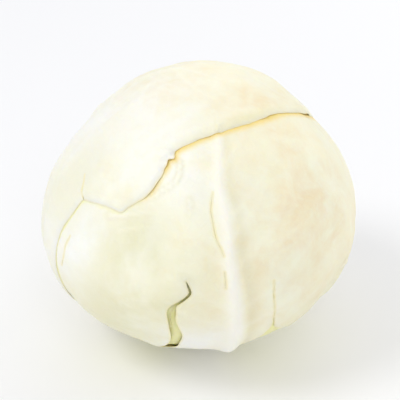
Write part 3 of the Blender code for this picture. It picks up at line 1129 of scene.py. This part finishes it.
def leaf_material(name, blade, tint, tinge, lip_shadow_colour, depth):
    """A waxy leaf: blade colour mottled with a tint and a tinge; paler ribs and veins, partly lighter
    as painted highlights; painted shade in the creases beside wrinkles and in the rib's trough;
    yellowed edges, partly painted shade along the rims; yellowing and painted shade where another
    leaf's edge lies on it; a painted shadow under the cap leaf's lip and torn edge; and painted shade
    on its turned-down lip. Depth is 1 for the leaves inside, which are painted olive as shade far down
    in the tear, and 0 for the outer ones, which have the pale patches."""
    m = Material(name)
    place = m.place()
    edge, vein_and_highlight, painted_crease_shade, rib, lip, yellowing_and_shade, painted_lip_shadow, foot, blush, green, pale, painted_gap_shade = (
        m.attribute(mask) for mask in MASKS
    )
    cloud = m.noise(place, 22.0, 4.0, 0.55, 0.4)
    patch = m.noise(place, 60.0, 4.0, 0.6, 0.3)
    speck = m.noise(place, 420.0, 3.0, 0.6)
    net = 1.0 - m.cells(place, 230.0, "DISTANCE_TO_EDGE").eased(0.0, 0.16)
    blush = (blush * patch.eased(0.25, 0.75)).clamped()
    green = (green * cloud.eased(0.2, 0.7)).clamped()
    pale = pale.clamped() * (1.0 - depth)
    mottled = 1.0 - pale * 0.7
    base = m.mixed(colour(*blade), (
        (pale * 0.9, (0.99, 0.99, 0.975)),
        (cloud.eased(0.36, 0.66) * 0.8 * mottled, tint),
        (patch.eased(0.52, 0.75) * 0.45 * mottled, tinge),
        (blush * 0.8, (0.945, 0.875, 0.735)),
        (green * 0.8, (0.86, 0.855, 0.68)),
        # Painted shade beside the wrinkles and in the rib's trough.
        (painted_crease_shade * 0.75, (0.87, 0.84, 0.70)),
        # Paler veins, and painted highlights on the veins and wrinkles.
        (vein_and_highlight * 0.7, (0.99, 0.98, 0.92)),
        # Paler rib, partly a painted highlight on it.
        (rib * 0.85, (0.995, 0.985, 0.94)),
        (foot * 0.6, (0.985, 0.98, 0.91)),
        # Yellowing along the edges and cracks of the leaves outside, partly painted shade.
        (yellowing_and_shade * 0.9, (0.955, 0.94, 0.52)),
        # Painted shadow under the cap leaf's lip and torn edge.
        (painted_lip_shadow * 0.9, lip_shadow_colour),
        # Painted shade: olive far down in the tear's dark opening.
        (painted_gap_shade.clamped() * depth, (0.86, 0.83, 0.42)),
        # Yellowed rims, partly painted shade along the edges and cracks.
        (edge * 0.45, (0.97, 0.91, 0.66)),
        # Painted shade on the cap leaf's turned-down lip.
        (lip * 0.6, (0.985, 0.955, 0.79)),
        (net * 0.07, (0.98, 0.97, 0.90)),
    ))
    return m.finish(
        base_color=base,
        roughness=(0.40 + cloud * 0.16 + speck * 0.06 - rib * 0.05).clamped(0.2, 0.8),
        normal=m.bump(net * 0.35 + speck * 0.25 + patch * 0.6, 0.00018),
        subsurface_weight=0.35,
        subsurface_radius=(0.0013, 0.0011, 0.0006),
        subsurface_scale=1.0,
        ior=1.42,
        specular_ior_level=0.3,
        coat_weight=0.03,
        coat_roughness=0.35,
    )


def stalk_material():
    """The cut stalk: a pale pith, a ring of strands, and a drier brown rim."""
    m = Material("cut_stalk_flesh")
    place = m.place()
    length = m.node("ShaderNodeVectorMath", {"operation": "LENGTH"}, {0: place}, "Value")
    ring = length / STALK_RADIUS
    fibres = m.noise(place, 900.0, 3.0, 0.6)
    patch = m.noise(place, 160.0, 4.0, 0.6, 1.0)
    strands = 1.0 - m.cells(place, 420.0, "F1").eased(0.15, 0.4)
    dots = strands * ring.eased(0.55, 0.68) * (1.0 - ring.eased(0.8, 0.93))
    base = m.mixed(colour(0.95, 0.93, 0.80), (
        (ring.eased(0.45, 0.8), (0.90, 0.87, 0.64)),
        (dots * 0.7, (0.80, 0.74, 0.46)),
        (patch.eased(0.5, 0.8) * 0.5, (0.84, 0.76, 0.56)),
        (ring.eased(0.9, 1.02) * 0.6, (0.78, 0.72, 0.50)),
    ))
    return m.finish(
        base_color=base,
        roughness=(0.55 + fibres * 0.25).clamped(0.3, 0.9),
        normal=m.bump(fibres * 0.6 + patch * 0.6 + dots * 0.4, 0.0003),
        subsurface_weight=0.15,
        subsurface_radius=(0.004, 0.003, 0.0015),
        subsurface_scale=1.0,
    )


# ---- floor, light and camera

CAMERA_LENS = 100.0
SENSOR = 36.0
VIEW_ELEVATION = 30.0
HEAD_SHARE_OF_VIEW = 0.785
AIM_RIGHT = 0.0006
AIM_UP = 0.0029
FLOOR_HALF_SIDE = 6.0
FLOOR_LEVEL = -0.0001
WORLD_STRENGTH = 0.725

# Name, place, what it points at, width, watts and colour.
AREA_LIGHTS = (
    ("key", (-1.3, -0.6, 1.9), (0.0, 0.0, 0.08), 0.9, 13.9, (1.0, 0.995, 0.985)),
    ("front", (0.3, -1.3, 1.3), (0.0, 0.0, 0.0), 0.9, 3.4, (1.0, 1.0, 1.0)),
    ("right", (1.0, 0.5, 0.5), (0.0, 0.1, 0.05), 0.9, 2.6, (1.0, 1.0, 1.0)),
    ("behind", (0.2, 1.4, 0.8), (0.0, 0.4, 0.0), 0.8, 1.8, (1.0, 1.0, 1.0)),
)


def make_camera():
    """Looks along +Y and down by the view's elevation, from where the head fills its share
    of the picture."""
    distance = CAMERA_LENS / SENSOR * 2 * HEAD_RADIUS / HEAD_SHARE_OF_VIEW
    tilt = math.radians(VIEW_ELEVATION)
    forward = np.array([0.0, math.cos(tilt), -math.sin(tilt)])
    right = np.array([1.0, 0.0, 0.0])
    up = np.cross(right, forward)
    data = bpy.data.cameras.new("view")
    data.lens = CAMERA_LENS
    data.sensor_width = SENSOR
    data.clip_start = 0.05
    data.clip_end = 20.0
    camera = bpy.data.objects.new("view", data)
    bpy.context.scene.collection.objects.link(camera)
    camera.location = BALL_CENTRE + right * AIM_RIGHT + up * AIM_UP - forward * distance
    camera.rotation_euler = (math.radians(90.0) - tilt, 0.0, 0.0)
    bpy.context.scene.camera = camera


def make_floor():
    """A plain near-white sheet that the head stands on."""
    corners = [(x * FLOOR_HALF_SIDE, y * FLOOR_HALF_SIDE, FLOOR_LEVEL)
               for x, y in ((-1, -1), (1, -1), (1, 1), (-1, 1))]
    mesh = bpy.data.meshes.new("floor")
    mesh.from_pydata(corners, [], [(0, 1, 2, 3)])
    floor = bpy.data.objects.new("floor", mesh)
    bpy.context.scene.collection.objects.link(floor)
    m = Material("white_paper")
    mesh.materials.append(m.finish(base_color=colour(0.956, 0.958, 0.968), roughness=0.9,
                                   specular_ior_level=0.1))


def area_light(name, place, aim, width, watts, tone):
    """A round lamp turned so that it shines from its place towards its aim."""
    data = bpy.data.lights.new(name, "AREA")
    data.shape = "DISK"
    data.size = width
    data.energy = watts
    data.color = tone
    lamp = bpy.data.objects.new(name, data)
    bpy.context.scene.collection.objects.link(lamp)
    lamp.location = place
    x, y, z = np.array(aim) - np.array(place)
    lamp.rotation_euler = (math.atan2(math.hypot(x, y), -z), 0.0, math.atan2(x, -y) + math.pi)


def make_light():
    """A bright tent all round, with a key light from the upper left and three weaker ones."""
    for light in AREA_LIGHTS:
        area_light(*light)
    world = bpy.data.worlds.new("studio")
    world.use_nodes = True
    background = world.node_tree.nodes["Background"]
    background.inputs["Color"].default_value = (1.0, 1.0, 1.0, 1.0)
    background.inputs["Strength"].default_value = WORLD_STRENGTH
    bpy.context.scene.world = world
    view = bpy.context.scene.view_settings
    view.view_transform = "Standard"
    view.look = "None"


# ---- the whole head


def place_piece(piece, node, finish):
    """Gives the piece its finish, hangs it on the body, and hides the part of the frame that it stands
    for.
    """
    piece.data.materials.clear()
    piece.data.materials.append(finish)
    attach(piece, BODY)
    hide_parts(node)


outer_finish = leaf_material(
    "creamy_leaf",
    blade=(0.975, 0.965, 0.87),
    tint=(0.965, 0.94, 0.82),
    tinge=(0.955, 0.915, 0.76),
    # Colour of the painted shadow under the cap leaf's lip and torn edge.
    lip_shadow_colour=(0.985, 0.865, 0.51),
    depth=0.0,
)
# The leaves inside are yellower, as inner leaves are, and also as painted shade where they show in the
# gaps.
inner_finish = leaf_material(
    "yellow_green_leaf",
    blade=(0.97, 0.96, 0.74),
    tint=(0.95, 0.94, 0.66),
    tinge=(0.94, 0.92, 0.58),
    # Colour of the painted shadow under the cap leaf's lip and torn edge.
    lip_shadow_colour=(0.93, 0.89, 0.52),
    depth=1.0,
)

for turn, leaf in enumerate(LEAVES):
    leaf["azimuth"] = (FIRST_AZIMUTH + turn * GOLDEN_ANGLE) % 360.0
    settle(leaf)
for leaf in LEAVES[:OUTER_LEAVES]:
    place_piece(make_leaf(leaf), leaf["node"], outer_finish)
for leaf in LEAVES[OUTER_LEAVES:]:
    place_piece(make_leaf(leaf), leaf["node"], inner_finish)
place_piece(make_ball(), "inner_head", inner_finish)
place_piece(make_stalk(), "cut_stalk", stalk_material())

make_floor()
make_light()
make_camera()
